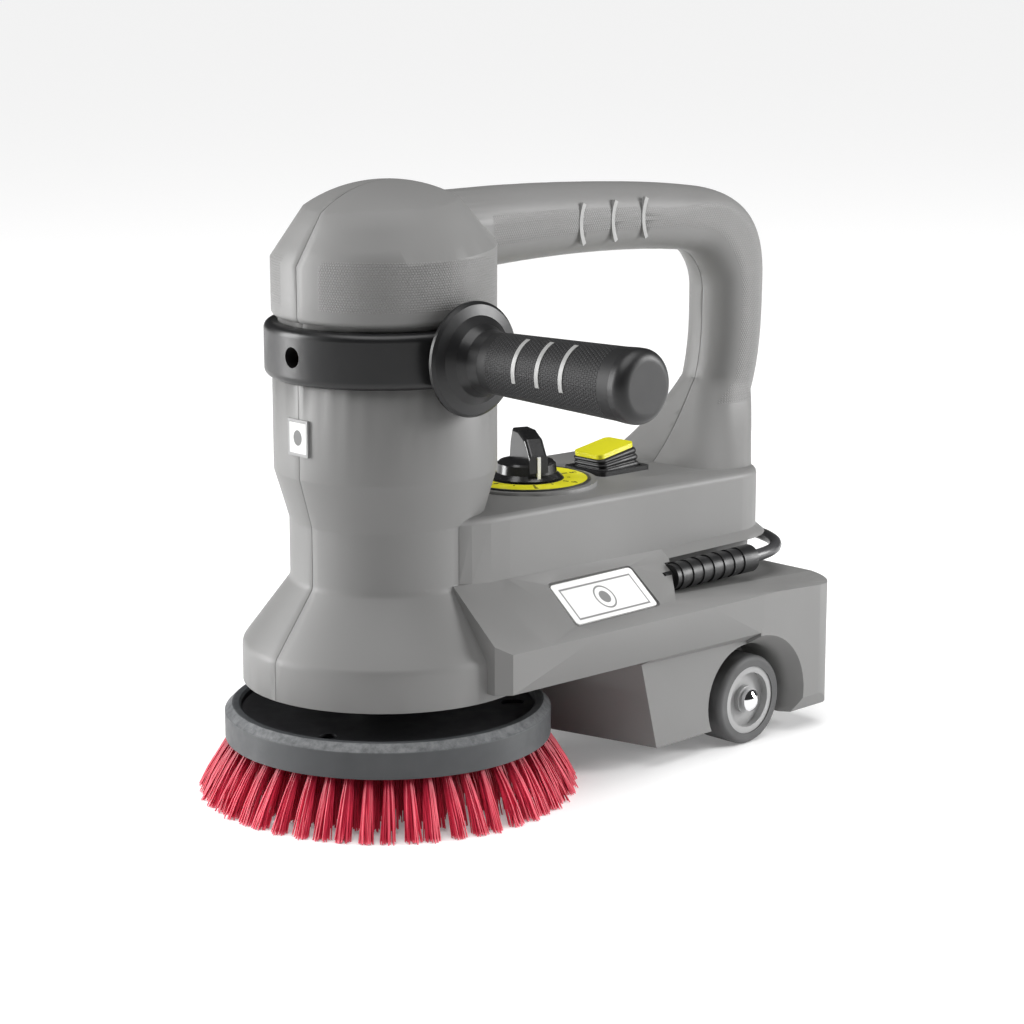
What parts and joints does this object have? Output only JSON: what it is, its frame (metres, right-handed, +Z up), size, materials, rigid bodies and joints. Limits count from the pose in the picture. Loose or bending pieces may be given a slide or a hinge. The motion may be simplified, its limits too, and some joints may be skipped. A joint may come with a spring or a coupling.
{
  "type": "rotary floor machine",
  "caption": "Compact rotary floor machine: upright motor head over a disc brush, two-wheeled chassis, carrying loop, screw-in side handle, speed knob and rocker switch.",
  "frame": {"origin": "brush axis on the floor, at the bristle tips", "axes": "+X to the rear (wheels), -Y to the side handle and cord, +Z up; the shells part at Y = 0"},
  "size_m": [0.3305, 0.3892, 0.2731],
  "materials": {
    "body_plastic": "fine-grained moulded grey plastic",
    "dark_plastic": "matt black moulded plastic",
    "black_plastic": "black moulded plastic",
    "black_rubber": "textured black rubber",
    "slate_plastic": "slate-grey moulded plastic",
    "inlay": "light grey plastic",
    "plate_white": "printed white plate",
    "accent_yellow": "yellow plastic",
    "bristle_red": "red nylon filaments",
    "tyre": "grey rubber tyre",
    "rim_grey": "light grey moulded plastic",
    "steel": "machined steel",
    "chrome": "polished chrome",
    "brass": "turned brass",
    "copper": "copper",
    "carbon": "pressed carbon",
    "board": "green circuit board",
    "cord_rubber": "dark cable sheath"
  },
  "bodies": {
    "machine": {"left_shell": "body_plastic", "right_shell": "body_plastic", "base_cover": "dark_plastic", "body_screws": "steel", "collar_ring": "black_plastic", "collar_inserts": "brass", "side_handle_core": "black_plastic", "side_handle_grip": "black_rubber", "side_grip_inlays": "inlay", "side_handle_end": "black_rubber", "side_handle_stud": "steel", "loop_inlays": "inlay", "nameplate": "plate_white", "head_label": "plate_white", "spindle_bearings": "steel", "gear_case": "dark_plastic", "gear_plate": "dark_plastic", "motor_bearings": "steel", "stator": "steel", "field_coils": "copper", "carbon_brushes": "carbon", "brush_holders": "brass", "motor_bracket": "dark_plastic", "axle": "steel", "axle_caps": "chrome", "scale_disc": "accent_yellow", "potentiometer": "dark_plastic", "switch_frame": "black_plastic", "switch_body": "black_plastic", "rocker_pin": "steel", "control_board": "board", "strain_relief": "black_rubber", "power_cord": "cord_rubber", "power_cord_tail": "cord_rubber", "cord_coil": "cord_rubber", "plug": "cord_rubber", "switch_bellows": "black_rubber"},
    "brush": {"brush_block": "slate_plastic", "brush_top_plate": "dark_plastic", "brush_socket": "dark_plastic", "bristles_outer": "bristle_red", "bristles_inner": "bristle_red", "spindle": "steel", "drive_gear": "steel"},
    "layshaft_set": {"layshaft": "steel", "layshaft_gear": "steel", "layshaft_pinion": "steel"},
    "rotor": {"motor_shaft": "steel", "motor_pinion": "steel", "armature": "steel", "commutator": "copper", "fan": "dark_plastic"},
    "wheel_left": {"tyre_left": "tyre", "rim_left": "rim_grey"},
    "wheel_right": {"tyre_right": "tyre", "rim_right": "rim_grey"},
    "speed_dial": {"speed_knob": "black_plastic", "knob_pointer": "plate_white", "knob_shaft": "steel"},
    "rocker": {"rocker_cap": "accent_yellow"}
  },
  "joints": [
    {"name": "brush_spin", "type": "hinge", "parent": "machine", "child": "brush", "pos_m": [0, 0, 0.05], "axis": [0, 0, 1], "continuous": true},
    {"name": "layshaft_spin", "type": "hinge", "parent": "machine", "child": "layshaft_set", "pos_m": [0.03, 0, 0.065], "axis": [0, 0, 1], "continuous": true},
    {"name": "motor_spin", "type": "hinge", "parent": "machine", "child": "rotor", "pos_m": [0, 0, 0.12], "axis": [0, 0, 1], "continuous": true},
    {"name": "wheel_left_spin", "type": "hinge", "parent": "machine", "child": "wheel_left", "pos_m": [0.1633, -0.063, 0.0215], "axis": [0, 1, 0], "continuous": true},
    {"name": "wheel_right_spin", "type": "hinge", "parent": "machine", "child": "wheel_right", "pos_m": [0.1633, 0.063, 0.0215], "axis": [0, 1, 0], "continuous": true},
    {"name": "speed_knob_turn", "type": "hinge", "parent": "machine", "child": "speed_dial", "pos_m": [0.087, 0, 0.13], "axis": [0, 0, 1], "range_deg": [-150, 120]},
    {"name": "power_rocker", "type": "hinge", "parent": "machine", "child": "rocker", "pos_m": [0.141, 0, 0.122], "axis": [0, 1, 0], "range_deg": [0, 18], "deforming": ["switch_bellows"]}
  ],
  "couplings": [
    {"joint": "layshaft_spin", "follows": "brush_spin", "ratio": -3},
    {"joint": "motor_spin", "follows": "brush_spin", "ratio": 9}
  ]
}
